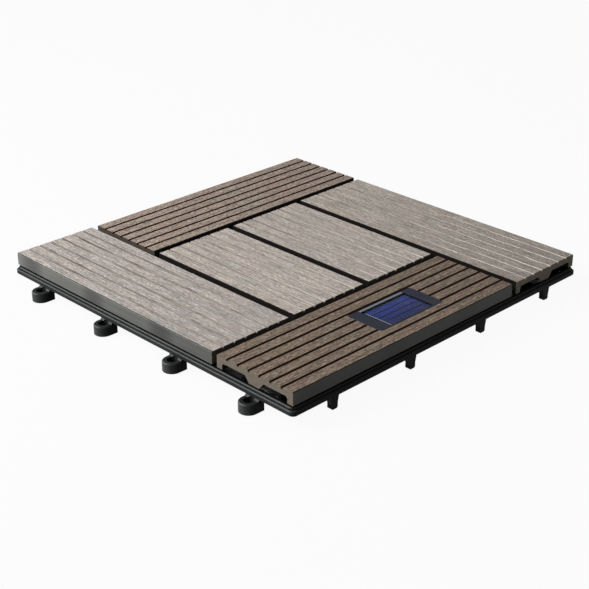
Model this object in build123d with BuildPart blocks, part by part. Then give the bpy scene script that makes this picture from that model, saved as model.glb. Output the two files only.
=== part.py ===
"""Interlocking composite deck tile with a solar light let into one board.

Millimetres. X runs along the front edge, Y away from it, Z up. The origin is the middle of the tile
on the ground it stands on.
"""
import os

from build123d import *

# Deck tile grid
tile_pitch = 300.0        # centre to centre of two tiles that are hooked together
row_board_count = 4       # boards, each with its open joint, that make up one pitch
board_gap = 5.0           # open joint between boards, and between the boards of two tiles
centre_end_gap = 5.5      # open joint at the ends of the two middle boards
seat_height = 15.5        # underside of the boards above the ground

# Composite board
board_thickness = 9.5
leg_width = 5.0           # outer legs of the section
leg_chamfer = 1.4         # haunch between outer leg and deck
spine_foot = 9.5          # middle leg at its foot
spine_root = 17.0         # middle leg where it meets the deck
recess_depth = 4.8
edge_chamfer = 0.6        # long edges of the walking face
strip_count = 7           # strips between the tread grooves

# Tread grooves
wide_groove_width = 1.9   # square grooves of the dark boards
wide_groove_depth = 1.3
fine_groove_width = 1.5   # tapered grooves of the pale boards
fine_groove_floor = 0.5
fine_groove_depth = 1.0

# Base moulding: two-step rim
rim_clearance = 0.3       # from the rim to the line where two tiles meet
lip_bottom = 8.6
lip_top = 12.4
rim_top = 14.3
rim_step = 1.2            # upper bead set in from the lower lip
rim_groove = 0.6          # depth of the groove between the two
rim_groove_height = 0.6
rim_corner = 4.0
rim_chamfer = 0.6
rim_wall = 4.2

# Base moulding: ribs, feet and screw bosses
rib_count = 9             # each way, over one tile pitch
rib_width = 2.6
rib_bottom = 7.0
foot_ribs = (-2, 0, 2)     # ribs that carry feet, counted from the middle
foot_arm = 9.0            # span of a foot's cross
centre_foot_arm = 14.0
boss_width = 9.4          # across the flats of the eight-sided boss
boss_bottom = 5.4

# Links: loops on two sides, pins on the other two
link_count = 4
pin_thickness = 4.0
pin_width = 5.6
pin_shoulder = 7.6
pin_shoulder_height = 4.0
pin_nose = 0.9
loop_clearance = 0.3      # round the pin's corners
loop_wall = 3.2
loop_height = 7.4
loop_edge = 0.7
loop_gusset = 0.8         # foot of the gusset in front of the rim
loop_root = 145.3         # where the loop's tongue ends under the rim

# Board screws
screw_radius = 1.75
screw_sides = 12          # flats of a shank and of its hole
screw_head_width = 6.0    # across the flats of the hexagon
screw_head_height = 2.2
screw_bite = 6.0          # length in the board
screw_clearance = 0.25    # round the shank in the base
pilot_clearance = 0.05
long_board_screws = (-3, 1)               # ribs that they pass, counted from the middle
centre_board_screws = (-1, 1)

# Solar light: outside
light_width = 31.6
light_length = 64.4
light_corner = 3.0
light_middle_y = -16.0
light_edge_gap = 0.4      # from the second groove of the board to the light
light_fit = 0.25          # gap round the light in the board
bezel_thickness = 1.2
bezel_chamfer = 0.3
front_bar = 10.2          # closed ends of the bezel
back_bar = 9.2
right_rail = 1.6
lens_left = 0.5
lens_width = 2.4
lens_web = 0.4            # between lens and window
lens_length = 44.0
lens_depth = 0.7
lens_stem_width = 1.0
lens_stem_reach = 1.5     # below the bezel, down to the lamps
window_rebate = 0.8
window_ledge = 0.5
window_thickness = 0.6
part_fit = 0.1            # between the light's own pieces

# Solar light: inside
seal_thickness = 0.8
bottom_seal_thickness = 0.6
housing_inset = 0.3
housing_wall = 1.4
housing_corner = 2.7
backing_thickness = 1.0
strip_gap = 1.1
strip_thickness = 0.3
cell_strips = 4
busbar_width = 2.2
busbar_thickness = 0.4
cell_left = 2.2           # from the window's left side to the cell
cell_right = 1.2          # from the cell to the window's right side
cell_end = 1.1            # from the window's ledges to the cell's ends
backing_lap = 0.5         # glued under the bezel at each end
circuit_thickness = 1.6
circuit_clearance = 0.3
led_size = (1.4, 2.8, 0.9)
led_gap = 1.2             # from the lamps up to the lens
led_pitch = 11.0
led_count = 4
chip_size = (5.0, 4.0, 1.4)
lead_width = 1.0
lead_spacing = 8.0
battery_headroom = 1.3    # from the battery up to the circuit board
battery_radius = 5.25
battery_nub_radius = 1.9
battery_nub = 0.9
contact_thickness = 0.4
contact_width = 9.0
contact_tongue = 3.0      # square tongue pressed out towards the battery
contact_bump = 0.6
bottom_plate_thickness = 2.0
bulkhead_thickness = 1.6
bulkhead_lap = 0.25       # bulkheads run into the screw posts
cradle_thickness = 3.0
cradle_offset = 14.0
cradle_clearance = 0.1
post_width = 6.0          # screw posts in the middle of the short ends
post_inset = 4.6
light_screw_radius = 1.1
light_screw_head_width = 3.6
light_screw_head_height = 1.4
light_screw_length = 10.0

# Light well in the base
well_fit = 0.35
well_wall = 2.0
shelf_thickness = 1.5
shelf_width = 2.0

# Worked-out sizes
board_width = tile_pitch / row_board_count - board_gap
field = tile_pitch - board_gap
field_half = field / 2
long_length = field - board_width - board_gap
centre_length = field - 2 * (board_width + centre_end_gap)
deck_top = seat_height + board_thickness
groove_pitch = board_width / strip_count
groove_places = [(i - (strip_count - 2) / 2) * groove_pitch for i in range(strip_count - 1)]
outer_line = field_half - board_width / 2
long_shift = field_half - long_length / 2
inner_line = (board_width + board_gap) / 2
lip_half = tile_pitch / 2 - rim_clearance
bead_half = lip_half - rim_step
rim_inner = lip_half - rim_wall
rib_pitch = tile_pitch / rib_count
link_pitch = tile_pitch / link_count
link_places = [(i - (link_count - 1) / 2) * link_pitch for i in range(link_count)]
pin_middle = lip_half - pin_thickness / 2
loop_middle = tile_pitch - pin_middle
loop_bore = ((pin_thickness / 2) ** 2 + (pin_width / 2) ** 2) ** 0.5 + loop_clearance
loop_radius = loop_bore + loop_wall
light_left = outer_line - groove_pitch * 1.5 + wide_groove_width / 2 + light_edge_gap
light_x = light_left + light_width / 2
bezel_bottom = deck_top - bezel_thickness
housing_top = bezel_bottom - seal_thickness
circuit_top = bezel_bottom - lens_stem_reach - led_gap - led_size[2]
circuit_bottom = circuit_top - circuit_thickness
battery_level = circuit_bottom - battery_headroom - battery_radius
plate_top = battery_level - battery_radius - cradle_clearance
housing_bottom = plate_top + bottom_seal_thickness
light_bottom = plate_top - bottom_plate_thickness
shelf_bottom = light_bottom - shelf_thickness


def turned(x, y, quarter_turns):
    """Turn a point about the tile's middle by quarter turns."""
    for _ in range(quarter_turns % 4):
        x, y = -y, x
    return x, y


# Each long board is the front one turned a quarter further: front, right, back, left.
board_frames = {}
for turns, side in enumerate(("front", "right", "back", "left")):
    middle = turned(-long_shift, -outer_line, turns)
    board_frames["board_" + side] = (middle, turns, long_length, long_board_screws)
for side, y in (("front", -inner_line), ("back", inner_line)):
    board_frames["board_centre_" + side] = ((0.0, y), 0, centre_length, centre_board_screws)
dark_boards = ("board_right", "board_left")


def screw_points(name):
    """Screw places of one board, where its middle line crosses a rib."""
    middle, turns, _, ribs = board_frames[name]
    line = turned(*middle, -turns)[1]
    return [turned(rib * rib_pitch, line, turns) for rib in ribs]


all_screws = [point for name in board_frames for point in screw_points(name)]


def sides_frames(quarter_turns):
    """Frames on the tile's middle lines at the links of these sides, with -Y pointing outwards."""
    frames = []
    for turns in quarter_turns:
        for place in link_places:
            frames.append(Location((*turned(place, 0.0, turns), 0.0), (0, 0, 90.0 * turns)))
    return frames


def screw_holes(points, radius):
    """Outline of the holes for small screws at these places, seen from above."""
    with Locations(*points):
        RegularPolygon(radius, screw_sides, major_radius=False)


def light_plane(height):
    """Plane at the light's middle, this high above the ground."""
    return Plane(origin=(light_x, light_middle_y, height))


def finish(piece, name):
    """Name a finished piece and write it out."""
    piece.part.label = name
    export_step(piece.part, f"parts/{name}.step")


os.makedirs("parts", exist_ok=True)


# Composite boards: one extruded section, grooved on top and hollowed below
def make_board(name):
    (x, y), turns, length, _ = board_frames[name]
    along = turned(1.0, 0.0, turns)
    across = turned(0.0, 1.0, turns)
    start = (x - along[0] * length / 2, y - along[1] * length / 2, seat_height)
    end_plane = Plane(origin=start, x_dir=(*across, 0), z_dir=(*along, 0))
    half = board_width / 2
    with BuildPart() as board:
        with BuildSketch(end_plane) as section:
            with BuildLine():
                Polyline(
                    (0, 0),
                    (spine_foot / 2, 0),
                    (spine_root / 2, recess_depth),
                    (half - leg_width - leg_chamfer, recess_depth),
                    (half - leg_width, recess_depth - leg_chamfer),
                    (half - leg_width, 0),
                    (half, 0),
                    (half, board_thickness),
                    (0, board_thickness),
                )
                mirror(about=Plane.YZ)
            make_face()
            corners = section.vertices().group_by(Axis.Y)[-1]
            chamfer([corners.sort_by(Axis.X)[0], corners.sort_by(Axis.X)[-1]], edge_chamfer)
            for place in groove_places:
                with BuildLine(mode=Mode.PRIVATE) as groove:
                    if name in dark_boards:
                        top, floor, depth = wide_groove_width, wide_groove_width, wide_groove_depth
                    else:
                        top, floor, depth = fine_groove_width, fine_groove_floor, fine_groove_depth
                    Polyline(
                        (place - top / 2, board_thickness),
                        (place - floor / 2, board_thickness - depth),
                        (place + floor / 2, board_thickness - depth),
                        (place + top / 2, board_thickness),
                        close=True,
                    )
                make_face(groove.edges(), mode=Mode.SUBTRACT)
        extrude(amount=length)
        with BuildSketch(Plane.XY.offset(seat_height)):
            screw_holes(screw_points(name), screw_radius + pilot_clearance)
        extrude(amount=screw_bite + pilot_clearance, mode=Mode.SUBTRACT)
        if name == "board_right":
            with BuildSketch(Plane(origin=(light_x, light_middle_y, seat_height))):
                RectangleRounded(
                    light_width + 2 * light_fit, light_length + 2 * light_fit, light_corner + light_fit
                )
            extrude(amount=board_thickness, mode=Mode.SUBTRACT)
    finish(board, name)
    return board


for board_name in board_frames:
    make_board(board_name)


# Link loop: a tongue with a round eye, and a gusset up to the rim
with BuildPart() as link_loop:
    with BuildSketch():
        with Locations((0, -loop_middle)):
            Circle(loop_radius)
        with Locations((0, -(loop_middle + loop_root) / 2)):
            Rectangle(2 * loop_radius, loop_middle - loop_root)
    extrude(amount=loop_height)
    top_edges = link_loop.faces().sort_by(Axis.Z)[-1].edges().sort_by(Axis.Y)
    chamfer(top_edges[:-1], loop_edge)
    with BuildSketch(Plane.YZ):
        with BuildLine():
            Polyline(
                (-loop_root, loop_height - loop_edge),
                (-loop_root, lip_bottom + rim_chamfer),
                (rim_chamfer - lip_half, lip_bottom + rim_chamfer),
                (rim_chamfer - lip_half, lip_bottom),
                (-loop_gusset - lip_half, loop_height - loop_edge),
                close=True,
            )
        make_face()
    extrude(amount=loop_radius - loop_edge, both=True)
    with Locations((0, -loop_middle, lip_bottom)):
        Hole(loop_bore, depth=lip_bottom)

# Link pin: a flat peg below the rim with sloping shoulders
with BuildPart() as link_pin:
    with BuildSketch(Plane(origin=(0, pin_thickness - lip_half, 0), x_dir=(1, 0, 0), z_dir=(0, -1, 0))):
        with BuildLine():
            Polyline(
                (0, 0),
                (pin_width / 2 - pin_nose, 0),
                (pin_width / 2, pin_nose),
                (pin_width / 2, pin_shoulder_height),
                (pin_shoulder / 2, lip_bottom + rim_chamfer),
                (0, lip_bottom + rim_chamfer),
            )
            mirror(about=Plane.YZ)
        make_face()
    extrude(amount=pin_thickness)

# Base moulding: rim, links, feet, screw bosses, light well and rib lattice in one piece
well_width = light_width + 2 * well_fit
well_length = light_length + 2 * well_fit
well_corner = light_corner + well_fit
feet = [(i * rib_pitch, j * rib_pitch) for i in foot_ribs for j in foot_ribs]

with BuildPart() as base_grid:
    with BuildSketch(Plane.XY.offset(lip_bottom)):
        RectangleRounded(2 * lip_half, 2 * lip_half, rim_corner)
    extrude(amount=lip_top - lip_bottom)
    chamfer(base_grid.faces().sort_by(Axis.Z)[-1].edges(), rim_chamfer)
    chamfer(base_grid.faces().sort_by(Axis.Z)[0].edges(), rim_chamfer)
    with BuildSketch(Plane.XY.offset(lip_top)):
        RectangleRounded(2 * (bead_half - rim_groove), 2 * (bead_half - rim_groove), rim_corner - rim_groove)
    extrude(amount=rim_groove_height)
    with BuildSketch(Plane.XY.offset(lip_top + rim_groove_height)):
        RectangleRounded(2 * bead_half, 2 * bead_half, rim_corner)
    extrude(amount=rim_top - lip_top - rim_groove_height)
    chamfer(base_grid.faces().sort_by(Axis.Z)[-1].edges(), rim_chamfer)
    with BuildSketch(Plane.XY.offset(lip_bottom)):
        Rectangle(2 * rim_inner, 2 * rim_inner)
    extrude(amount=rim_top - lip_bottom, mode=Mode.SUBTRACT)
    with Locations(*sides_frames((0, 3))):
        add(link_loop.part)
    with Locations(*sides_frames((1, 2))):
        add(link_pin.part)

    with BuildSketch(Plane.XY):
        with Locations(*feet):
            Rectangle(foot_arm, rib_width)
            Rectangle(rib_width, foot_arm)
        Rectangle(centre_foot_arm, rib_width)
        Rectangle(rib_width, centre_foot_arm)
    extrude(amount=rib_bottom)
    with BuildSketch(Plane.XY.offset(boss_bottom)):
        with Locations(*all_screws):
            RegularPolygon(boss_width / 2, 8, major_radius=False)
    extrude(amount=seat_height - boss_bottom)
    with BuildSketch(light_plane(shelf_bottom)):
        RectangleRounded(well_width + 2 * well_wall, well_length + 2 * well_wall, well_corner + well_wall)
    extrude(amount=seat_height - shelf_bottom)

    with BuildSketch(Plane.XY.offset(rib_bottom)):
        with GridLocations(1, rib_pitch, 1, rib_count):
            Rectangle(2 * rim_inner, rib_width)
        with GridLocations(rib_pitch, 1, rib_count, 1):
            Rectangle(rib_width, 2 * rim_inner)
    extrude(amount=seat_height - rib_bottom)

    with BuildSketch(light_plane(light_bottom)):
        RectangleRounded(well_width, well_length, well_corner)
    extrude(amount=seat_height - light_bottom, mode=Mode.SUBTRACT)
    with BuildSketch(light_plane(shelf_bottom)):
        Rectangle(light_width - 2 * shelf_width, light_length - 2 * shelf_width)
    extrude(amount=shelf_thickness, mode=Mode.SUBTRACT)
    with BuildSketch(Plane.XY.offset(boss_bottom)):
        screw_holes(all_screws, screw_radius + screw_clearance)
    extrude(amount=seat_height - boss_bottom, mode=Mode.SUBTRACT)
finish(base_grid, "base_grid")


def make_screw(radius, length, head_width, head_height):
    """A blunt screw standing head down, with the seat of its hexagonal head at the origin."""
    with BuildPart() as screw:
        with BuildSketch():
            RegularPolygon(radius, screw_sides)
        extrude(amount=length)
        with BuildSketch():
            RegularPolygon(head_width / 2, 6, major_radius=False)
        extrude(amount=-head_height)
    return screw.part


# Board screws, driven up from below
board_screw = make_screw(
    screw_radius, seat_height + screw_bite - boss_bottom, screw_head_width, screw_head_height
)
with BuildPart() as board_screws:
    with Locations(*[(x, y, boss_bottom) for x, y in all_screws]):
        add(board_screw)
finish(board_screws, "board_screws")

# Light bezel: rounded frame flush with the board, with a seat for the window and a slot for the lens
window_left = lens_left + lens_width + lens_web - light_width / 2
window_right = light_width / 2 - right_rail
window_front = front_bar - light_length / 2
window_back = light_length / 2 - back_bar
window_width = window_right - window_left
window_length = window_back - window_front
window_x = (window_left + window_right) / 2
window_y = (window_front + window_back) / 2
lens_x = lens_left + lens_width / 2 - light_width / 2
lens_stem_x = lens_left + lens_width - lens_stem_width / 2 - light_width / 2

with BuildPart() as light_bezel:
    with BuildSketch(light_plane(bezel_bottom)):
        RectangleRounded(light_width, light_length, light_corner)
    extrude(amount=bezel_thickness)
    chamfer(light_bezel.faces().sort_by(Axis.Z)[-1].edges(), bezel_chamfer)
    with BuildSketch(light_plane(deck_top)):
        with Locations((window_x, window_y)):
            Rectangle(window_width, window_length - 2 * window_ledge)
        with Locations((lens_stem_x, window_y)):
            Rectangle(lens_stem_width, lens_length)
    extrude(amount=-bezel_thickness, mode=Mode.SUBTRACT)
    with BuildSketch(light_plane(deck_top)):
        with Locations((window_x, window_y)):
            Rectangle(window_width, window_length)
    extrude(amount=-window_rebate, mode=Mode.SUBTRACT)
    with BuildSketch(light_plane(deck_top)):
        with Locations((lens_x, window_y)):
            Rectangle(lens_width, lens_length)
    extrude(amount=-lens_depth, mode=Mode.SUBTRACT)
finish(light_bezel, "light_bezel")

# Lens: frosted strip with a stem that reaches down to the lamps
with BuildPart() as light_lens:
    with BuildSketch(light_plane(deck_top - lens_depth)):
        with Locations((lens_x, window_y)):
            Rectangle(lens_width - 2 * part_fit, lens_length - 2 * part_fit)
    extrude(amount=lens_depth)
    with BuildSketch(light_plane(bezel_bottom - lens_stem_reach)):
        with Locations((lens_stem_x - part_fit / 2, window_y)):
            Rectangle(lens_stem_width - part_fit, lens_length - 2 * part_fit)
    extrude(amount=bezel_thickness - lens_depth + lens_stem_reach)
    lens_rim = light_lens.faces().sort_by(Axis.Z)[-1].edges()
    chamfer(lens_rim, part_fit)
finish(light_lens, "light_lens")

# Window: clear pane over the cell
with BuildPart() as light_window:
    with BuildSketch(light_plane(deck_top - window_rebate)):
        with Locations((window_x, window_y)):
            Rectangle(window_width - 2 * part_fit, window_length - 2 * part_fit)
    extrude(amount=window_thickness)
finish(light_window, "light_window")

# Cell backing: plate under the window, its ends glued to the underside of the bezel
backing_width = window_width - 2 * part_fit
backing_length = window_length - 2 * window_ledge + 2 * backing_lap
with BuildPart() as solar_backing:
    with BuildSketch(light_plane(bezel_bottom - backing_thickness)):
        with Locations((window_x, window_y)):
            Rectangle(backing_width, backing_length)
    extrude(amount=backing_thickness)
finish(solar_backing, "solar_backing")

# Cell strips, and the bar that joins their front ends
cell_width = window_width - cell_left - cell_right
cell_x = window_left + cell_left + cell_width / 2
strip_pitch = (cell_width + strip_gap) / cell_strips
strip_width = strip_pitch - strip_gap
strip_length = window_length - 2 * (window_ledge + cell_end) - busbar_width
busbar_y = window_front + window_ledge + cell_end + busbar_width / 2
strip_y = busbar_y + (busbar_width + strip_length) / 2
for i in range(cell_strips):
    with BuildPart() as solar_strip:
        with BuildSketch(light_plane(bezel_bottom)):
            with Locations((cell_x + (i - (cell_strips - 1) / 2) * strip_pitch, strip_y)):
                Rectangle(strip_width, strip_length)
        extrude(amount=strip_thickness)
    finish(solar_strip, f"solar_strip_{i + 1}")

with BuildPart() as solar_busbar:
    with BuildSketch(light_plane(bezel_bottom)):
        with Locations((cell_x, busbar_y)):
            Rectangle(cell_width, busbar_width)
    extrude(amount=busbar_thickness)
finish(solar_busbar, "solar_busbar")

# Housing: rounded wall with two screw posts, two bulkheads and two battery cradles
housing_width = light_width - 2 * housing_inset
housing_length = light_length - 2 * housing_inset
inner_width = housing_width - 2 * housing_wall
inner_length = housing_length - 2 * housing_wall
post_y = light_length / 2 - post_inset
post_points = [(light_x, light_middle_y + side * post_y) for side in (-1, 1)]
contact_seat = post_y - post_width / 2 + bulkhead_lap - bulkhead_thickness
battery_length = 2 * (contact_seat - contact_thickness - contact_bump)
battery_middle = Plane(origin=(light_x, light_middle_y, battery_level), x_dir=(1, 0, 0), z_dir=(0, -1, 0))


def wall_ring():
    """Housing wall seen from above."""
    RectangleRounded(housing_width, housing_length, housing_corner)
    Rectangle(inner_width, inner_length, mode=Mode.SUBTRACT)


with BuildPart() as light_housing:
    with BuildSketch(light_plane(housing_bottom)):
        wall_ring()
    extrude(amount=housing_top - housing_bottom)
    with BuildSketch(light_plane(housing_bottom)):
        with GridLocations(1, 2 * post_y, 1, 2):
            Rectangle(post_width, post_width)
        with GridLocations(1, 2 * contact_seat + bulkhead_thickness, 1, 2):
            Rectangle(inner_width, bulkhead_thickness)
        with GridLocations(1, 2 * cradle_offset, 1, 2):
            Rectangle(inner_width, cradle_thickness)
    extrude(amount=circuit_bottom - housing_bottom)
    with BuildSketch(battery_middle):
        Circle(battery_radius + cradle_clearance)
        with Locations((0, -battery_radius / 2)):
            Rectangle(2 * (battery_radius + cradle_clearance), battery_radius)
    extrude(amount=contact_seat, both=True, mode=Mode.SUBTRACT)
    with BuildSketch(Plane.XY.offset(housing_bottom)):
        screw_holes(post_points, light_screw_radius + pilot_clearance)
    extrude(amount=light_screw_length, mode=Mode.SUBTRACT)
finish(light_housing, "light_housing")

# Seals above and below the housing
for name, height, thickness in (
    ("top_seal", housing_top, seal_thickness),
    ("bottom_seal", plate_top, bottom_seal_thickness),
):
    with BuildPart() as seal:
        with BuildSketch(light_plane(height)):
            wall_ring()
        extrude(amount=thickness)
    finish(seal, name)

# Bottom plate: closes the housing and stands on the shelf of the well
with BuildPart() as bottom_plate:
    with BuildSketch(light_plane(light_bottom)):
        RectangleRounded(housing_width, housing_length, housing_corner)
    extrude(amount=bottom_plate_thickness)
    with BuildSketch(Plane.XY.offset(light_bottom)):
        screw_holes(post_points, light_screw_radius + screw_clearance)
    extrude(amount=bottom_plate_thickness, mode=Mode.SUBTRACT)
finish(bottom_plate, "bottom_plate")

light_screw = make_screw(
    light_screw_radius, light_screw_length, light_screw_head_width, light_screw_head_height
)
with BuildPart() as light_screws:
    with Locations(*[(x, y, light_bottom) for x, y in post_points]):
        add(light_screw)
finish(light_screws, "light_screws")

# Circuit board on the bulkheads, with its lamps, control chip and cell pins
circuit_width = inner_width - 2 * circuit_clearance
circuit_length = 2 * (post_y - post_width / 2 - circuit_clearance)
with BuildPart() as circuit_board:
    with BuildSketch(light_plane(circuit_bottom)):
        Rectangle(circuit_width, circuit_length)
    extrude(amount=circuit_thickness)
finish(circuit_board, "circuit_board")

led_x = (led_size[0] - circuit_width) / 2 + part_fit
for i in range(led_count):
    with BuildPart() as led:
        with BuildSketch(light_plane(circuit_top)):
            with Locations((led_x, window_y + (i - (led_count - 1) / 2) * led_pitch)):
                Rectangle(led_size[0], led_size[1])
        extrude(amount=led_size[2])
    finish(led, f"led_{i + 1}")

with BuildPart() as control_chip:
    with BuildSketch(light_plane(circuit_top)):
        with Locations((window_x, window_y)):
            Rectangle(chip_size[0], chip_size[1])
    extrude(amount=chip_size[2])
finish(control_chip, "control_chip")

with BuildPart() as cell_leads:
    with BuildSketch(light_plane(circuit_top)):
        with Locations((window_x, window_front + lead_spacing)):
            with GridLocations(lead_spacing, 1, 2, 1):
                Rectangle(lead_width, lead_width)
    extrude(amount=bezel_bottom - backing_thickness - circuit_top)
finish(cell_leads, "cell_leads")

# Battery in its cradles, between the two contacts
with BuildPart() as battery:
    with BuildSketch(battery_middle.offset(battery_length / 2)):
        Circle(battery_radius)
    extrude(amount=battery_nub - battery_length)
    with BuildSketch(battery_middle.offset(-battery_length / 2)):
        Circle(battery_nub_radius)
    extrude(amount=battery_nub)
finish(battery, "battery")

for name, side in (("battery_contact_plus", 1), ("battery_contact_minus", -1)):
    face = light_middle_y + side * (contact_seat - contact_thickness)
    with BuildPart() as contact:
        with BuildSketch(Plane(origin=(light_x, face, 0), x_dir=(side, 0, 0), z_dir=(0, side, 0))):
            with Locations((0, -(housing_bottom + circuit_bottom) / 2)):
                Rectangle(contact_width, circuit_bottom - housing_bottom)
        extrude(amount=contact_thickness)
        tongue_plane = Plane(origin=(light_x, face, battery_level), x_dir=(side, 0, 0), z_dir=(0, -side, 0))
        with BuildSketch(tongue_plane):
            Rectangle(contact_tongue, contact_tongue)
        extrude(amount=contact_bump)
    finish(contact, name)
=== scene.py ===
from functools import partial
from math import atan, cos, pi, radians, sin
from typing import NamedTuple

import bmesh
import bpy
from bpy.props import FloatProperty, FloatVectorProperty, PointerProperty
from mathutils import Matrix, Vector


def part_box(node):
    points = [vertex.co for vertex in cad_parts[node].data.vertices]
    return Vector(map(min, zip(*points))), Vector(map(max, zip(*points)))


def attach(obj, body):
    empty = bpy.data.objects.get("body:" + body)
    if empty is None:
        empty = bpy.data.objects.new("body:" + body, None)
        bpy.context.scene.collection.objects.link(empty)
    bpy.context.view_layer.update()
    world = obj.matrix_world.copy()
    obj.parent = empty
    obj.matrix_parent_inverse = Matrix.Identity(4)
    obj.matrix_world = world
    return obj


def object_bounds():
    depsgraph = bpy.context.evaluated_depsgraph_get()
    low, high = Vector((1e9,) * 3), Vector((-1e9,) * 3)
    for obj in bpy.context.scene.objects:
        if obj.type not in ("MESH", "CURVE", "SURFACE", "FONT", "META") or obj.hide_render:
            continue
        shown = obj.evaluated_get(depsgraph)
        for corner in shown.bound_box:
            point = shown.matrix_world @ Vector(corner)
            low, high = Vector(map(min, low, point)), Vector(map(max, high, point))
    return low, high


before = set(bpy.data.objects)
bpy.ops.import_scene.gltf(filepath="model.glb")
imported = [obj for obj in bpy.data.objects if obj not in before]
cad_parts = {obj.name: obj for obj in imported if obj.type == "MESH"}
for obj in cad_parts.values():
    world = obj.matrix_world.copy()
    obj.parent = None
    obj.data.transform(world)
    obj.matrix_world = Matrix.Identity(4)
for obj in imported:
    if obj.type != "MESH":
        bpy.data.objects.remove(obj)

bl_info = {
    "name": "Lighted deck tile",
    "version": (1, 0, 0),
    "blender": (4, 5, 0),
    "location": "View3D > Sidebar > Deck tile",
    "description": "Finishes for a grooved composite deck tile with a solar light, and its studio",
    "category": "Material",
}

CAD_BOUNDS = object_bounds()
IMAGE_SIZE = 589
MM = 0.001

# Sizes of the tile
FRONT_LOW, FRONT_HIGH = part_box("board_front")
EDGE = -FRONT_LOW.y                  # outer sides of the boards from the tile's middle
SEAT = FRONT_LOW.z                   # underside of the boards above the ground
TREAD_STRIPS = 7                     # strips between the tread grooves of a board
GROOVE_PITCH = (FRONT_HIGH.y - FRONT_LOW.y) / TREAD_STRIPS
LINK_PITCH = 75 * MM
CELL_STRIPS = [f"solar_strip_{i}" for i in range(1, 5)]
LAMPS = [f"led_{i}" for i in range(1, 5)]

# Composite boards. A band along a groove is given by its distance from the groove's middle and half
# its width
FLAT = 0.85                          # upward share of the normal from which a face is walked on
SQUARE = 0.5                         # lengthways share of the normal from which a face is a sawn end
OUTER_FACE = EDGE - 0.3 * MM         # faces past this are on the tile's outside
GROOVE_ZONE = 1.6 * MM               # the grooves go no deeper than this
WIDE_GROOVE = (0.0, 1.2 * MM)        # band of a dark board's groove colour, reaching a little over both edges
FINE_GROOVE = (-0.2 * MM, 0.95 * MM)           # band of painted shade along a pale board's groove, reaching over its near edge
HIGHLIGHT_LINE = (0.8 * MM, 0.22 * MM)    # painted highlight on the far wall of a pale board's groove
REFLECTION_SHIFT = 17 * MM               # each painted dark reflection on a board's side lies this far to the left of its link
GROOVE_WANDER = {"pale": 0.3 * MM, "dark": 0.1 * MM}
FLECK_SPREAD = {"pale": 0.5, "dark": 0.85}     # how far the lightness of the flecks varies
HUE_SHARE = {"pale": 0.08, "dark": 0.12}       # strength of the small tints of every hue

# Base moulding
LIT_SIDE = (-0.3, -0.7, 0.65)        # direction of the painted light on the base: up and to the front left
LOOPS_FROM = EDGE + 3 * MM           # only the link loops are past this
COVERED_FROM = SEAT - 5 * MM         # the top of the base, under the boards, is above this

# Studio
KEY_PLACE = (-0.8, -1.0, 1.0)
KEY_SIZE = 0.9
FLOOR_HALF = 6.0
SHADE_TO = EDGE - 12.5 * MM          # the floor under the tile stays in shade as far as this
LIFT_FROM = EDGE - 10 * MM           # and is lifted towards white from here

NOISE_SPAN = (0.3, 0.7)              # nearly all values of a noise pattern lie between these
MIX_COLOURS = {"out": "Result", "data_type": "RGBA"}


class Board(NamedTuple):
    """How one board looks."""
    finish: str          # pale or dark
    runs: str            # axis that it runs along
    tone_and_light_start: float    # lightness at its left or front end: its own tone with painted light that falls off across the tile
    tone_and_light_end: float      # lightness at its other end, with the same painted light
    warmth: float        # gain in red and half the loss in blue, cooler below 0
    highlit: float          # strength of the painted highlight on the far walls of its tread grooves, on the right


BOARDS = {
    "board_front": Board("pale", "X", 1.035, 1.005, -0.012, 0.25),
    "board_centre_front": Board("pale", "X", 1.09, 1.06, 0.0, 0.9),
    "board_centre_back": Board("pale", "X", 1.05, 1.0, 0.0, 0.9),
    "board_back": Board("pale", "X", 1.02, 0.73, 0.01, 0.75),
    "board_left": Board("dark", "Y", 1.05, 0.9, 0.0, 0.0),
    "board_right": Board("dark", "Y", 0.6, 0.52, 0.045, 0.0),
}


def linear(hex_colour):
    """sRGB hex to the linear values that shaders use."""
    channels = [int(hex_colour[i:i + 2], 16) / 255 for i in (1, 3, 5)]
    return tuple(c / 12.92 if c <= 0.04045 else ((c + 0.055) / 1.055) ** 2.4 for c in channels)


def add_node(tree, kind, *values, out=0, **settings):
    """Add one node with its settings and links, and give one of its outputs, or all where out is None.

    Values go to its sockets in order, or by name from one dict. A value may be another node's output.
    """
    made = tree.nodes.new("ShaderNode" + kind)
    for name, value in settings.items():
        setattr(made, name, value)
    sockets = values[0] if values and isinstance(values[0], dict) else dict(enumerate(values))
    for key, value in sockets.items():
        socket = made.inputs[key]
        if isinstance(value, bpy.types.NodeSocket):
            tree.links.new(value, socket)
        else:
            socket.default_value = (*value, 1.0) if socket.type == "RGBA" else value
    if out is None:
        return list(made.outputs)
    return made.outputs[out] if made.outputs else None


def new_material(name):
    """An empty node material, and add_node for its tree."""
    material = bpy.data.materials.new(name)
    material.use_nodes = True
    material.node_tree.nodes.clear()
    return material, partial(add_node, material.node_tree)


def dress(node_name, material):
    """Give one CAD node its material."""
    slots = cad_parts[node_name].data.materials
    slots.clear()
    slots.append(material)


def new_piece(name, shape, material):
    """A new piece in the scene, with this bmesh as its mesh."""
    mesh = bpy.data.meshes.new(name)
    shape.to_mesh(mesh)
    shape.free()
    mesh.materials.append(material)
    piece = bpy.data.objects.new(name, mesh)
    bpy.context.scene.collection.objects.link(piece)
    return piece


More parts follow.
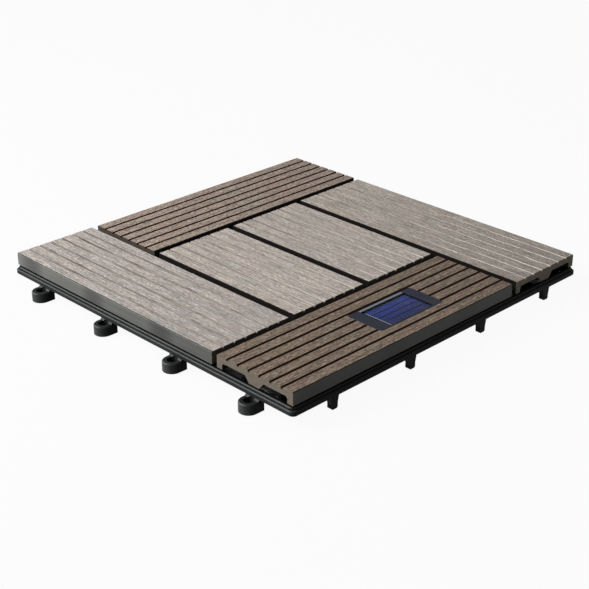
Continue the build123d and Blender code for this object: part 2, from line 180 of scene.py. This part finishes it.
class DeckTileBoards(bpy.types.PropertyGroup):
    """Colours and surface sizes of the composite boards."""
    pale_face: FloatVectorProperty(
        name="Pale face", description="Brushed walking face of the pale boards",
        subtype="COLOR", default=linear("#b2a79e"))
    pale_tint: FloatVectorProperty(
        name="Pale tint", description="Darker patches of the pale boards' walking face",
        subtype="COLOR", default=linear("#aaa39c"))
    pale_skin: FloatVectorProperty(
        name="Pale skin", description="Smooth extruded skin on the outer side of the pale boards",
        subtype="COLOR", default=linear("#6b6b68"))
    # Painted shade in the fine tread grooves
    pale_groove_shade: FloatVectorProperty(
        name="Pale groove", description="Bottom of the fine tread grooves",
        subtype="COLOR", default=linear("#5c544c"))
    dark_face: FloatVectorProperty(
        name="Dark face", description="Brushed walking face of the dark boards",
        subtype="COLOR", default=linear("#9d8a7e"))
    dark_tint: FloatVectorProperty(
        name="Dark tint", description="Cooler patches of the dark boards' walking face",
        subtype="COLOR", default=linear("#978a7f"))
    dark_skin: FloatVectorProperty(
        name="Dark skin", description="Smooth extruded skin on the outer side of the dark boards",
        subtype="COLOR", default=linear("#2a2926"))
    # Partly the wide grooves' own unbrushed skin, partly painted shade that darkens them further
    dark_groove_skin_and_shade: FloatVectorProperty(
        name="Dark groove", description="Wide tread grooves, whose skin the brushing never reached",
        subtype="COLOR", default=linear("#3a281c"))
    # Painted shade: the sides in an open joint are painted near-black for the shade that falls there
    joint: FloatVectorProperty(
        name="Joint", description="Sides that face an open joint, where dust and damp darken the skin",
        subtype="COLOR", default=linear("#0e0a08"))
    # Painted highlight: pale colour painted on the far walls of the fine grooves
    groove_highlight: FloatVectorProperty(
        name="Worn edge", description="Far walls of the fine grooves, worn pale",
        subtype="COLOR", default=linear("#d8cfc7"))
    sawn_end: FloatVectorProperty(
        name="Sawn end", description="Sawn end of a board, cut through fibre and plastic",
        subtype="COLOR", default=linear("#80766a"))
    line_pitch: FloatProperty(
        name="Brush line pitch", description="Distance between the lines that the brushing leaves",
        subtype="DISTANCE", unit="LENGTH", default=2.3 * MM)
    line_wander: FloatProperty(
        name="Brush line wander", description="How far a brush line strays sideways",
        subtype="DISTANCE", unit="LENGTH", default=1.3 * MM)
    line_depth: FloatProperty(
        name="Brush line strength", description="How much darker a brush line is than the face",
        subtype="FACTOR", min=0.0, max=1.0, default=0.45)
    fleck_size: FloatProperty(
        name="Fleck size", description="Width of a wood fleck, coarser than real flour so that it shows",
        subtype="DISTANCE", unit="LENGTH", default=0.9 * MM)


class DeckTileLight(bpy.types.PropertyGroup):
    """Colours of the solar light and sizes of its printed cell lines."""
    frame_colour: FloatVectorProperty(
        name="Frame", description="Slate plastic of the light's frame",
        subtype="COLOR", default=linear("#0a1022"))
    cell_colour: FloatVectorProperty(
        name="Cell", description="Blue silicon of the cell strips",
        subtype="COLOR", default=linear("#14225c"))
    ribbon_colour: FloatVectorProperty(
        name="Busbar", description="Tinned ridge of the busbar",
        subtype="COLOR", default=linear("#aab4cc"))
    lens_colour: FloatVectorProperty(
        name="Lens", description="Frosted strip that the lamps shine through",
        subtype="COLOR", default=linear("#6b7377"))
    finger_pitch: FloatProperty(
        name="Finger pitch", description="Distance between the silver lines printed across a strip",
        subtype="DISTANCE", unit="LENGTH", default=2.2 * MM)
    finger_width: FloatProperty(
        name="Finger width", description="Width of one printed silver line",
        subtype="DISTANCE", unit="LENGTH", default=0.05 * MM)


class DeckTileBase(bpy.types.PropertyGroup):
    """Colours of the base moulding and the screws."""
    plastic_colour: FloatVectorProperty(
        name="Base plastic", description="Black polypropylene of the base",
        subtype="COLOR", default=linear("#2f3030"))
    screw_colour: FloatVectorProperty(
        name="Screws", description="Zinc-plated steel of the screws",
        subtype="COLOR", default=linear("#a9aaa6"))


class DeckTileStudio(bpy.types.PropertyGroup):
    """Camera, lamp, studio light and floor."""
    azimuth: FloatProperty(
        name="Camera azimuth", description="Turn of the camera from the front edge towards the right",
        subtype="ANGLE", unit="ROTATION", default=radians(45.362))
    elevation: FloatProperty(
        name="Camera elevation", description="Height angle of the camera over the walking face",
        subtype="ANGLE", unit="ROTATION", default=radians(25.856))
    distance: FloatProperty(
        name="Camera distance", description="From the camera to the plane through the tile's middle",
        subtype="DISTANCE", unit="LENGTH", default=1.007165)
    slide_right: FloatProperty(
        name="Slide right", description="Camera moved sideways for the framing",
        subtype="DISTANCE", unit="LENGTH", default=-0.000399)
    slide_up: FloatProperty(
        name="Slide up", description="Camera moved upwards for the framing",
        subtype="DISTANCE", unit="LENGTH", default=-0.030792)
    focal_pixels: FloatProperty(
        name="Focal length in pixels", description="Focal length of the photograph's camera in its pixels",
        default=1342.151)
    key_power: FloatProperty(
        name="Key lamp", description="Power of the large soft lamp on the left",
        subtype="POWER", unit="POWER", default=31.0)
    ambient_left: FloatProperty(
        name="Ambient, left", description="Brightness of the studio on the left of the tile", default=0.42)
    ambient_right: FloatProperty(
        name="Ambient, right", description="Brightness of the studio on the right of the tile", default=0.1)
    floor_colour: FloatVectorProperty(
        name="Floor", description="Paper under the tile", subtype="COLOR", default=linear("#bcbcbc"))
    floor_lift: FloatProperty(
        name="Floor lift", description="How far the seen floor goes to white",
        subtype="FACTOR", min=0.0, max=1.0, default=0.94)


def grain(node, place, size, seed=0.0, detail=2.0, roughness=0.5, out="Fac"):
    """Soft random patches of this size along, across and through the piece, from 0 to 1."""
    cells = node("Mapping", place, (seed, 1.7 * seed, 0.0), (0, 0, 0), tuple(1 / side for side in size))
    noise = {"Vector": cells, "Scale": 1.0, "Detail": detail, "Roughness": roughness}
    return node("TexNoise", noise, out=out)


def reach(node, place):
    """Distance from the tile's middle, along X or along Y, whichever is larger."""
    x, y, _ = node("SeparateXYZ", node("VectorMath", place, operation="ABSOLUTE"), out=None)
    return node("Math", x, y, operation="MAXIMUM")


def brushing(node, place, across, look, spread, seed):
    """What the brushing leaves, as lightness, and the part of it that comes from the wood flecks."""
    # Lines that wander and break off, darkest up to line_core from their middle and gone at line_side
    line_core, line_side = 0.1 * MM, 0.55 * MM
    stray = grain(node, place, (30 * MM, 9 * MM, 9 * MM), seed + 5)
    stray = node("MapRange", stray, 0.2, 0.8, -look.line_wander, look.line_wander)
    comb = node("Math", across, stray, operation="ADD")
    comb = node("Math", comb, look.line_pitch / 2, operation="PINGPONG")
    broken = grain(node, place, (18 * MM, 1.6 * MM, 1.6 * MM), seed + 7, roughness=0.6)
    broken = node("MapRange", broken, 0.42, 0.6, 1.0, 1.0 - look.line_depth)
    lines = node("MapRange", comb, line_core, line_side, broken, 1.0)

    # Fine marks some millimetres long, wood flecks, and streaks some centimetres long
    size = look.fleck_size
    mark_spread, streak_spread = 0.7 * spread, 0.24
    marks = grain(node, place, (9 * MM, size, size), seed + 9, 3.0, 0.65)
    marks = node("MapRange", marks, *NOISE_SPAN, 1 - mark_spread, 1 + mark_spread)
    flecks = grain(node, place, (3.5 * size, size, size), seed + 11, roughness=0.8)
    flecks = node("MapRange", flecks, *NOISE_SPAN, 1 - spread, 1 + spread)
    streaks = grain(node, place, (35 * MM, 3 * MM, 3 * MM), seed + 19, 3.0, 0.6)
    streaks = node("MapRange", streaks, *NOISE_SPAN, 1 - streak_spread, 1 + streak_spread)
    level = node("Math", marks, flecks, operation="MULTIPLY")
    level = node("Math", level, streaks, operation="MULTIPLY")
    return node("Math", level, lines, operation="MULTIPLY"), flecks


def pigment(node, place, look, board, seed):
    """Two close pigments in patches some centimetres long, with small tints of every hue."""
    patches = grain(node, place, (40 * MM, 12 * MM, 12 * MM), seed + 13, 3.0, 0.6)
    patches = node("MapRange", patches, 0.35, 0.65, 0.0, 1.0)
    batch = Vector((1 + board.warmth, 1.0, 1 - 2 * board.warmth))
    dark = board.finish == "dark"
    face, tint = (look.dark_face, look.dark_tint) if dark else (look.pale_face, look.pale_tint)
    colour = node("Mix", {"Factor": patches, "A": batch * Vector(face), "B": batch * Vector(tint)},
                  **MIX_COLOURS)
    hues = grain(node, place, (12 * MM, 6 * MM, 6 * MM), seed + 15, roughness=0.6, out="Color")
    return node("Mix", {"Factor": HUE_SHARE[board.finish], "A": colour, "B": hues},
                blend_type="SOFT_LIGHT", **MIX_COLOURS)


def side_skin(node, place, along, length, look, board, seed):
    """Smooth extruded skin with a painted dark reflection at each link, and on pale boards painted shade that
    grows towards the right.
    """
    # Painted reflection: a soft dark patch on the outer side at each link, a little lighter between
    painted_reflection = node("Math", along, REFLECTION_SHIFT, operation="ADD")
    painted_reflection = node("Math", painted_reflection, 2 * pi / LINK_PITCH, operation="MULTIPLY")
    painted_reflection = node("Math", painted_reflection, operation="COSINE")
    painted_reflection = node("MapRange", painted_reflection, 0.3, 1.0, 1.05, 0.55)
    drawn = grain(node, place, (60 * MM, 1.2 * MM, 1.2 * MM), seed + 17)
    drawn = node("MapRange", drawn, *NOISE_SPAN, 0.88, 1.12)
    tone = node("Math", painted_reflection, drawn, operation="MULTIPLY")
    if board.finish == "dark":
        return node("VectorMath", {0: look.dark_skin, "Scale": tone}, operation="SCALE")
    # Painted shade on the pale boards' outer side, darker towards the right
    dull = node("MapRange", along, -length / 2, length / 2, 1.05, 0.6)
    tone = node("Math", tone, dull, operation="MULTIPLY")
    return node("VectorMath", {0: look.pale_skin, "Scale": tone}, operation="SCALE")


def composite_material(name, look, seed):
    """Wood-plastic composite, extruded and brushed.

    The walking face is matt, with brush lines and wood flecks along the board and soft tints where the
    wood flour took the pigment unevenly. The sides keep the smooth skin of the extrusion, and the ends
    are sawn.
    """
    board = BOARDS[name]
    material, node = new_material("brushed_composite_" + name)

    # The board's own space: X along it, Y across it from its middle, Z up from its walking face
    low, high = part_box(name)
    middle = (low + high) / 2
    if board.runs == "X":
        length, turn, shift = high.x - low.x, (0, 0, 0), (-middle.x, -middle.y, -high.z)
    else:
        length, turn, shift = high.y - low.y, (0, 0, -pi / 2), (-middle.y, middle.x, -high.z)
    on_tile = node("TexCoord", out="Object")
    rightwards = node("SeparateXYZ", on_tile)
    place = node("Mapping", on_tile, shift, turn)
    along, across, height = node("SeparateXYZ", place, out=None)
    facing = node("Mapping", node("NewGeometry", out="True Normal"), (0, 0, 0), turn)
    facing_along, _, facing_up = node("SeparateXYZ", facing, out=None)

    # Masks: walking face, sawn end, outer faces of the tile
    up = node("Math", facing_up, FLAT, operation="GREATER_THAN")
    end = node("Math", facing_along, operation="ABSOLUTE")
    end = node("Math", end, SQUARE, operation="GREATER_THAN")
    outer = node("Math", reach(node, on_tile), OUTER_FACE, operation="GREATER_THAN")

    # Walking face
    spread = FLECK_SPREAD[board.finish]
    level, flecks = brushing(node, place, across, look, spread, seed)
    # Painted light along the board, with the board's own tone: its level falls off across the tile
    tone = node("MapRange", along, -length / 2, length / 2, board.tone_and_light_start, board.tone_and_light_end)
    walked = pigment(node, place, look, board, seed)
    walked = node("VectorMath", {0: walked, "Scale": tone}, operation="SCALE")
    walked = node("VectorMath", {0: walked, "Scale": level}, operation="SCALE")

    # Sides and sawn ends, with painted shade at the joints: the sides there are painted near-black, the sawn
    # ends darker
    skin = side_skin(node, place, along, length, look, board, seed)
    side = node("Mix", {"Factor": outer, "A": look.joint, "B": skin}, **MIX_COLOURS)
    speckle = node("MapRange", flecks, 1 - spread, 1 + spread, 0.75, 1.25)
    shade = node("MapRange", outer, 0.0, 1.0, 0.3, 0.82)
    sawn = node("VectorMath", {0: look.sawn_end, "Scale": speckle}, operation="SCALE")
    sawn = node("VectorMath", {0: sawn, "Scale": shade}, operation="SCALE")
    colour = node("Mix", {"Factor": up, "A": side, "B": walked}, **MIX_COLOURS)
    colour = node("Mix", {"Factor": end, "A": colour, "B": sawn}, **MIX_COLOURS)

    # Tread grooves: signed distance from the middle of the nearest one, which wanders because the
    # brushing breaks the edges. There are none at the board's own edges
    wander = GROOVE_WANDER[board.finish]
    chips = grain(node, place, (22 * MM, 5 * MM, 5 * MM), seed, 3.0, 0.6)
    chips = node("MapRange", chips, *NOISE_SPAN, GROOVE_PITCH / 2 - wander, GROOVE_PITCH / 2 + wander)
    beside = node("Math", across, chips, operation="ADD")
    beside = node("Math", beside, GROOVE_PITCH / 2, -GROOVE_PITCH / 2, operation="WRAP")
    grooved = node("Math", across, 0.0, GROOVE_PITCH * 3, operation="COMPARE")
    shallow = node("Math", height, -GROOVE_ZONE, operation="GREATER_THAN")
    grooved = node("Math", grooved, shallow, operation="MULTIPLY")

    def band(offset, half_width):
        """1 in a band along each groove."""
        inside = node("Math", beside, offset, half_width, operation="COMPARE")
        return node("Math", inside, grooved, operation="MULTIPLY")

    if board.finish == "dark":
        # The wide grooves get their skin colour with painted shade
        groove = node("Math", band(*WIDE_GROOVE), end, operation="SUBTRACT", use_clamp=True)
        colour = node("Mix", {"Factor": groove, "A": colour, "B": look.dark_groove_skin_and_shade}, **MIX_COLOURS)
    else:
        # Painted shade in a fine groove and over its near edge, fading here and there, and towards the right
        groove_shade = grain(node, place, (35 * MM, 5 * MM, 5 * MM), seed + 3)
        groove_shade = node("MapRange", groove_shade, 0.35, 0.6, 0.5, 1.0)
        fading = node("MapRange", rightwards, -0.9 * EDGE, 0.6 * EDGE, 1.0, 0.5)
        groove_shade = node("Math", groove_shade, fading, operation="MULTIPLY")
        wall = node("Mix", {"Factor": groove_shade, "A": look.pale_face, "B": look.pale_groove_shade}, **MIX_COLOURS)
        wall = node("VectorMath", {0: wall, "Scale": tone}, operation="SCALE")
        colour = node("Mix", {"Factor": band(*FINE_GROOVE), "A": colour, "B": wall}, **MIX_COLOURS)
        # Painted highlight on the far wall of each fine groove, stronger towards the right
        highlight_rightwards = node("MapRange", rightwards, -0.3 * EDGE, 0.8 * EDGE, 0.1 * board.highlit, board.highlit)
        line = node("Math", band(*HIGHLIGHT_LINE), highlight_rightwards, operation="MULTIPLY")
        colour = node("Mix", {"Factor": line, "A": colour, "B": look.groove_highlight}, **MIX_COLOURS)

    # Brushed and sawn faces are matt, the outer skin and the grooves have a low sheen, the joints none
    matt = node("Math", up, end, operation="MAXIMUM")
    smooth = node("Math", outer, grooved, operation="MAXIMUM")
    roughness = node("MapRange", smooth, 0.0, 1.0, 1.0, 0.45)
    roughness = node("MapRange", matt, 0.0, 1.0, roughness, 0.8)
    strength = node("Math", matt, 0.5, operation="MULTIPLY")
    bump = node("Bump", {"Height": level, "Strength": strength, "Distance": 0.25 * MM})
    shader = node("BsdfPrincipled", {
        "Base Color": colour, "Roughness": roughness, "IOR": 1.5, "Specular IOR Level": 0.2, "Normal": bump})
    node("OutputMaterial", shader)
    return material


def moulded_material(name, colour, roughness, grit, depth, gloss=0.5, patchiness=0.12):
    """Injection-moulded plastic: the fine spark-eroded grain of the mould gives a satin face."""
    material, node = new_material(name)
    place = node("TexCoord", out="Object")
    flow = grain(node, place, (22 * MM,) * 3, detail=3.0)
    tone = node("MapRange", flow, *NOISE_SPAN, 1 - patchiness, 1 + patchiness)
    rough = node("MapRange", flow, *NOISE_SPAN, roughness - 0.06, roughness + 0.06)
    bump = node("Bump", {"Height": grain(node, place, (grit,) * 3), "Strength": 0.5, "Distance": depth})
    shader = node("BsdfPrincipled", {
        "Base Color": node("VectorMath", {0: colour, "Scale": tone}, operation="SCALE"),
        "Roughness": rough, "IOR": 1.49, "Specular IOR Level": gloss, "Normal": bump})
    node("OutputMaterial", shader)
    return material


def base_material(colour):
    """Injection-moulded polypropylene, satin, with a fine grain.

    Faces turned up and to the front left get a painted highlight, and the far side painted shade. The walls
    of the link loops are painted lighter as painted light, and the top under the boards darker as painted
    shade.
    """
    material, node = new_material("moulded_polypropylene")
    place = node("TexCoord", out="Object")
    _, _, height = node("SeparateXYZ", place, out=None)
    from_middle = reach(node, place)
    facing = node("NewGeometry", out="True Normal")
    _, _, facing_up = node("SeparateXYZ", facing, out=None)
    flow = grain(node, place, (22 * MM,) * 3, detail=3.0)

    # Painted light: a painted highlight on faces turned up and to the front left, painted shade on the far side
    tone = node("MapRange", flow, *NOISE_SPAN, 0.88, 1.12)
    lit = node("VectorMath", facing, LIT_SIDE, operation="DOT_PRODUCT", out="Value")
    deep = node("MapRange", lit, -0.3, 0.65, 0.1, 1.0)
    painted_highlight = node("MapRange", lit, 0.72, 0.92, 1.0, 3.2)
    tone = node("Math", node("Math", tone, deep, operation="MULTIPLY"), painted_highlight, operation="MULTIPLY")

    # Painted light: the side walls of the link loops are painted lighter, their tops a little darker
    loop_wall_light = node("MapRange", facing_up, 0.2, 0.9, 2.1, 0.9)
    body = node("Math", from_middle, LOOPS_FROM, operation="LESS_THAN")
    tone = node("Math", tone, node("MapRange", body, 0.0, 1.0, loop_wall_light, 1.0), operation="MULTIPLY")

    # Painted shade on the top under the boards, which is also made fully rough
    top = node("Math", height, COVERED_FROM, operation="GREATER_THAN")
    under = node("Math", from_middle, EDGE, operation="LESS_THAN")
    covered = node("Math", top, under, operation="MULTIPLY")
    tone = node("Math", tone, node("MapRange", covered, 0.0, 1.0, 1.0, 0.15), operation="MULTIPLY")

    satin = node("MapRange", flow, *NOISE_SPAN, 0.34, 0.46)
    rough = node("MapRange", covered, 0.0, 1.0, satin, 1.0)
    grit = grain(node, place, (0.5 * MM,) * 3)
    bump = node("Bump", {"Height": grit, "Strength": 0.5, "Distance": 0.03 * MM})
    shader = node("BsdfPrincipled", {
        "Base Color": node("VectorMath", {0: colour, "Scale": tone}, operation="SCALE"),
        "Roughness": rough, "IOR": 1.49, "Specular IOR Level": 0.03, "Normal": bump})
    node("OutputMaterial", shader)
    return material


def metal_material(name, colour, roughness, mark_size):
    """Plated or tinned metal: fine drawing marks blur what it reflects."""
    material, node = new_material(name)
    marks = grain(node, node("TexCoord", out="Object"), (mark_size,) * 3, detail=3.0)
    rough = node("MapRange", marks, *NOISE_SPAN, roughness - 0.08, roughness + 0.08)
    bump = node("Bump", {"Height": marks, "Strength": 0.3, "Distance": 0.02 * MM})
    shader = node("BsdfPrincipled", {
        "Base Color": colour, "Metallic": 1.0, "Roughness": rough, "Normal": bump})
    node("OutputMaterial", shader)
    return material


def cell_material(colour, left, right):
    """Polycrystalline silicon under clear resin: faint crystal flakes in deep blue, with painted light that
    makes it lighter to the left.
    """
    material, node = new_material("polycrystalline_silicon")
    place = node("TexCoord", out="Object")
    flake_size = 3.5 * MM
    flakes = node("TexVoronoi", {"Vector": place, "Scale": 1 / flake_size}, out="Color")
    tone = node("MapRange", node("SeparateColor", flakes), 0.0, 1.0, 0.75, 1.25)
    # Painted light: the strips are lighter to the left
    painted_light_leftwards = node("MapRange", node("SeparateXYZ", place), left, right, 1.9, 0.7)
    tone = node("Math", tone, painted_light_leftwards, operation="MULTIPLY")
    shader = node("BsdfPrincipled", {
        "Base Color": node("VectorMath", {0: colour, "Scale": tone}, operation="SCALE"),
        "Roughness": 0.4, "IOR": 1.5, "Specular IOR Level": 0.05})
    node("OutputMaterial", shader)
    return material


def ribbon_material(colour, low, high):
    """Busbar: a bright tinned ridge along the middle of a dull ribbon of solder paste."""
    material, node = new_material("tinned_busbar")
    ridge_half = 0.25 * MM
    _, across, _ = node("SeparateXYZ", node("TexCoord", out="Object"), out=None)
    ridge = node("Math", across, (low.y + high.y) / 2, ridge_half, operation="COMPARE")
    tone = node("MapRange", ridge, 0.0, 1.0, 0.08, 0.9)
    shader = node("BsdfPrincipled", {
        "Base Color": node("VectorMath", {0: colour, "Scale": tone}, operation="SCALE"),
        "Roughness": 0.5, "IOR": 1.5, "Specular IOR Level": 0.05})
    node("OutputMaterial", shader)
    return material


def pane_material():
    """Clear cast acrylic with a soft anti-glare coat: nearly all light passes, with a faint clean gloss."""
    material, node = new_material("clear_acrylic_pane")
    ripple = grain(node, node("TexCoord", out="Object"), (9 * MM,) * 3)
    bump = node("Bump", {"Height": ripple, "Strength": 0.1, "Distance": 0.01 * MM})
    slant = node("LayerWeight", {"Blend": 0.5, "Normal": bump}, out="Facing")
    edge = node("MapRange", slant, 0.55, 1.0, 0.01, 0.2)
    clear = node("BsdfTransparent", (0.92, 0.94, 0.97))
    gloss = node("BsdfGlossy", {"Roughness": 0.08, "Normal": bump})
    node("OutputMaterial", node("MixShader", edge, clear, gloss))
    return material


def lens_material(colour):
    """Frosted acrylic strip: milky, with a soft grain."""
    material, node = new_material("frosted_acrylic")
    frost = grain(node, node("TexCoord", out="Object"), (0.5 * MM,) * 3)
    tone = node("MapRange", frost, *NOISE_SPAN, 0.85, 1.15)
    bump = node("Bump", {"Height": frost, "Strength": 0.4, "Distance": 0.05 * MM})
    shader = node("BsdfPrincipled", {
        "Base Color": node("VectorMath", {0: colour, "Scale": tone}, operation="SCALE"),
        "Roughness": 0.5, "IOR": 1.49, "Specular IOR Level": 0.2, "Normal": bump})
    node("OutputMaterial", shader)
    return material


def seen_rays(node):
    """1 for what the camera sees, directly, mirrored or through glass."""
    rays = node("LightPath", out=None)
    camera, mirrored, passed = (next(ray for ray in rays if ray.name == name) for name in (
        "Is Camera Ray", "Is Glossy Ray", "Is Transmission Ray"))
    mirrored = node("Math", mirrored, passed, operation="MAXIMUM")
    return node("Math", camera, mirrored, operation="MAXIMUM")


def place_camera(scene, look):
    """The photograph's camera."""
    back = Vector((sin(look.azimuth) * cos(look.elevation), -cos(look.azimuth) * cos(look.elevation),
                   sin(look.elevation)))
    right = Vector((cos(look.azimuth), sin(look.azimuth), 0.0))
    up = back.cross(right)
    target = Vector((0.0, 0.0, CAD_BOUNDS[1][2]))
    place = target + back * look.distance + right * look.slide_right + up * look.slide_up
    lens = bpy.data.cameras.new("photo_camera")
    lens.angle = 2 * atan(IMAGE_SIZE / 2 / look.focal_pixels)
    lens.clip_start = 10 * MM
    camera = bpy.data.objects.new("photo_camera", lens)
    camera.matrix_world = Matrix.Translation(place) @ Matrix((right, up, back)).transposed().to_4x4()
    scene.collection.objects.link(camera)
    scene.camera = camera


def place_key_lamp(scene, look):
    """A large soft lamp, high on the left."""
    lamp = bpy.data.lights.new("key", "AREA")
    lamp.shape = "DISK"
    lamp.size = KEY_SIZE
    lamp.energy = look.key_power
    key = bpy.data.objects.new("key", lamp)
    key.location = KEY_PLACE
    key.rotation_euler = (-key.location).to_track_quat("-Z", "Y").to_euler()
    scene.collection.objects.link(key)


def light_studio(scene, look):
    """Light all round, brighter on the left, and white where camera, metal and glass see it."""
    world = bpy.data.worlds.new("studio")
    scene.world = world
    world.use_nodes = True
    world.node_tree.nodes.clear()
    node = partial(add_node, world.node_tree)
    rightwards = node("SeparateXYZ", node("TexCoord", out="Generated"))
    ambient = node("MapRange", rightwards, -1.0, 1.0, look.ambient_left, look.ambient_right)
    ambient = node("Background", (1, 1, 1), ambient)
    white = node("Background", (1, 1, 1), 1.0)
    node("OutputWorld", node("MixShader", seen_rays(node), ambient, white))


def lay_floor(look):
    """Paper, lifted to near white where it is seen, but not under the tile, which stays in shade."""
    material, node = new_material("studio_paper")
    from_middle = reach(node, node("TexCoord", out="Object"))
    open_floor = node("MapRange", from_middle, SHADE_TO, LIFT_FROM, 0.0, look.floor_lift)
    lift = node("Math", seen_rays(node), open_floor, operation="MULTIPLY")
    paper = node("BsdfDiffuse", look.floor_colour)
    white = node("Emission", (1, 1, 1), 1.0)
    seen = node("MixShader", lift, paper, white)
    # One-way, so that the tile's underside shows from below
    underside = node("NewGeometry", out="Backfacing")
    node("OutputMaterial", node("MixShader", underside, seen, node("BsdfTransparent")))
    shape = bmesh.new()
    bmesh.ops.create_grid(shape, x_segments=1, y_segments=1, size=FLOOR_HALF)
    floor = new_piece("floor", shape, material)


class DECKTILE_OT_boards(bpy.types.Operator):
    """Finish the six composite boards"""
    bl_idname = "deck_tile.boards"
    bl_label = "Boards"

    def execute(self, context):
        for seed, name in enumerate(BOARDS):
            dress(name, composite_material(name, context.scene.deck_tile_boards, 4.3 * seed))
        return {"FINISHED"}


class DECKTILE_OT_base(bpy.types.Operator):
    """Finish the base moulding"""
    bl_idname = "deck_tile.base"
    bl_label = "Base moulding"

    def execute(self, context):
        dress("base_grid", base_material(context.scene.deck_tile_base.plastic_colour))
        return {"FINISHED"}


class DECKTILE_OT_screws(bpy.types.Operator):
    """Finish the screws"""
    bl_idname = "deck_tile.screws"
    bl_label = "Screws"

    def execute(self, context):
        look = context.scene.deck_tile_base
        steel = metal_material("zinc_plated_steel", look.screw_colour, roughness=0.35, mark_size=0.8 * MM)
        for name in ("board_screws", "light_screws"):
            dress(name, steel)
        return {"FINISHED"}


class DECKTILE_OT_light(bpy.types.Operator):
    """Finish what shows of the solar light, and print the cell's silver lines"""
    bl_idname = "deck_tile.light"
    bl_label = "Solar light"

    def execute(self, context):
        look = context.scene.deck_tile_light
        dress("light_bezel", moulded_material(
            "slate_abs_frame", look.frame_colour, roughness=0.5, grit=0.4 * MM, depth=0.02 * MM,
            gloss=0.12, patchiness=0.3))
        dress("light_window", pane_material())
        dress("light_lens", lens_material(look.lens_colour))
        dress("solar_backing", moulded_material(
            "cell_backing", linear("#151c33"), roughness=0.4, grit=0.6 * MM, depth=0.01 * MM, gloss=0.15))
        dress("solar_busbar", ribbon_material(look.ribbon_colour, *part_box("solar_busbar")))
        silicon = cell_material(look.cell_colour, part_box(CELL_STRIPS[0])[0].x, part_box(CELL_STRIPS[-1])[1].x)
        for name in CELL_STRIPS:
            dress(name, silicon)
        self.print_fingers(look)
        return {"FINISHED"}

    def print_fingers(self, look):
        """Thin silver lines across each strip of the cell."""
        thickness = 0.02 * MM
        shape = bmesh.new()
        for name in CELL_STRIPS:
            low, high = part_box(name)
            count = int((high.y - low.y) / look.finger_pitch)
            size = (high.x - low.x, look.finger_width, thickness)
            for i in range(count):
                y = low.y + (i + 0.5) * (high.y - low.y) / count
                middle = ((low.x + high.x) / 2, y, high.z + thickness / 2)
                place = Matrix.Translation(middle) @ Matrix.Diagonal((*size, 1.0))
                bmesh.ops.create_cube(shape, size=1.0, matrix=place)
        tin = metal_material("tinned_ribbon", linear("#6f7484"), roughness=0.35, mark_size=0.5 * MM)
        piece = new_piece("cell_fingers", shape, tin)
        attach(piece, "root")


class DECKTILE_OT_inside(bpy.types.Operator):
    """Finish what is inside the solar light"""
    bl_idname = "deck_tile.inside"
    bl_label = "Inside of the light"

    def execute(self, context):
        black = moulded_material(
            "housing_abs", linear("#2b2c2e"), roughness=0.45, grit=0.5 * MM, depth=0.03 * MM)
        rubber = moulded_material(
            "foam_rubber_seal", linear("#222222"), roughness=0.85, grit=0.3 * MM, depth=0.1 * MM)
        board = moulded_material(
            "solder_mask", linear("#2e6b40"), roughness=0.3, grit=1.2 * MM, depth=0.02 * MM)
        chip = moulded_material(
            "epoxy_chip", linear("#1c1c1c"), roughness=0.55, grit=0.2 * MM, depth=0.01 * MM)
        sleeve = moulded_material(
            "shrink_sleeve", linear("#3c7a4a"), roughness=0.25, grit=4 * MM, depth=0.02 * MM)
        resin = moulded_material(
            "lamp_resin", linear("#e8e4c8"), roughness=0.2, grit=0.5 * MM, depth=0.01 * MM)
        tin = metal_material("tinned_brass", linear("#b8b4a4"), roughness=0.3, mark_size=0.5 * MM)
        finishes = {
            "light_housing": black, "bottom_plate": black, "top_seal": rubber, "bottom_seal": rubber,
            "circuit_board": board, "control_chip": chip, "battery": sleeve,
            "cell_leads": tin, "battery_contact_plus": tin, "battery_contact_minus": tin,
            **dict.fromkeys(LAMPS, resin),
        }
        for name, material in finishes.items():
            dress(name, material)
        return {"FINISHED"}


class DECKTILE_OT_studio(bpy.types.Operator):
    """Floor, backdrop, lamp and the photograph's camera"""
    bl_idname = "deck_tile.studio"
    bl_label = "Studio"

    def execute(self, context):
        scene = context.scene
        look = scene.deck_tile_studio
        place_camera(scene, look)
        place_key_lamp(scene, look)
        light_studio(scene, look)
        lay_floor(look)
        scene.view_settings.view_transform = "Standard"
        return {"FINISHED"}


class DECKTILE_PT_panel(bpy.types.Panel):
    """The tile's operators and settings"""
    bl_idname = "DECKTILE_PT_panel"
    bl_label = "Deck tile"
    bl_space_type = "VIEW_3D"
    bl_region_type = "UI"
    bl_category = "Deck tile"

    def draw(self, context):
        for name, group, operators in SECTIONS:
            box = self.layout.box()
            for setting in group.__annotations__:
                box.prop(getattr(context.scene, name), setting)
            for operator in operators:
                box.operator(operator.bl_idname)


# Each section of the panel: the name of its settings in the scene, their group, and its operators
SECTIONS = (
    ("deck_tile_boards", DeckTileBoards, (DECKTILE_OT_boards,)),
    ("deck_tile_base", DeckTileBase, (DECKTILE_OT_base, DECKTILE_OT_screws)),
    ("deck_tile_light", DeckTileLight, (DECKTILE_OT_light, DECKTILE_OT_inside)),
    ("deck_tile_studio", DeckTileStudio, (DECKTILE_OT_studio,)),
)


def register():
    for name, group, operators in SECTIONS:
        bpy.utils.register_class(group)
        setattr(bpy.types.Scene, name, PointerProperty(type=group))
        for operator in operators:
            bpy.utils.register_class(operator)
    bpy.utils.register_class(DECKTILE_PT_panel)


def unregister():
    bpy.utils.unregister_class(DECKTILE_PT_panel)
    for name, group, operators in reversed(SECTIONS):
        for operator in reversed(operators):
            bpy.utils.unregister_class(operator)
        delattr(bpy.types.Scene, name)
        bpy.utils.unregister_class(group)


def main():
    register()
    bpy.ops.deck_tile.boards()
    bpy.ops.deck_tile.base()
    bpy.ops.deck_tile.screws()
    bpy.ops.deck_tile.light()
    bpy.ops.deck_tile.inside()
    bpy.ops.deck_tile.studio()


if __name__ == "__main__":
    main()
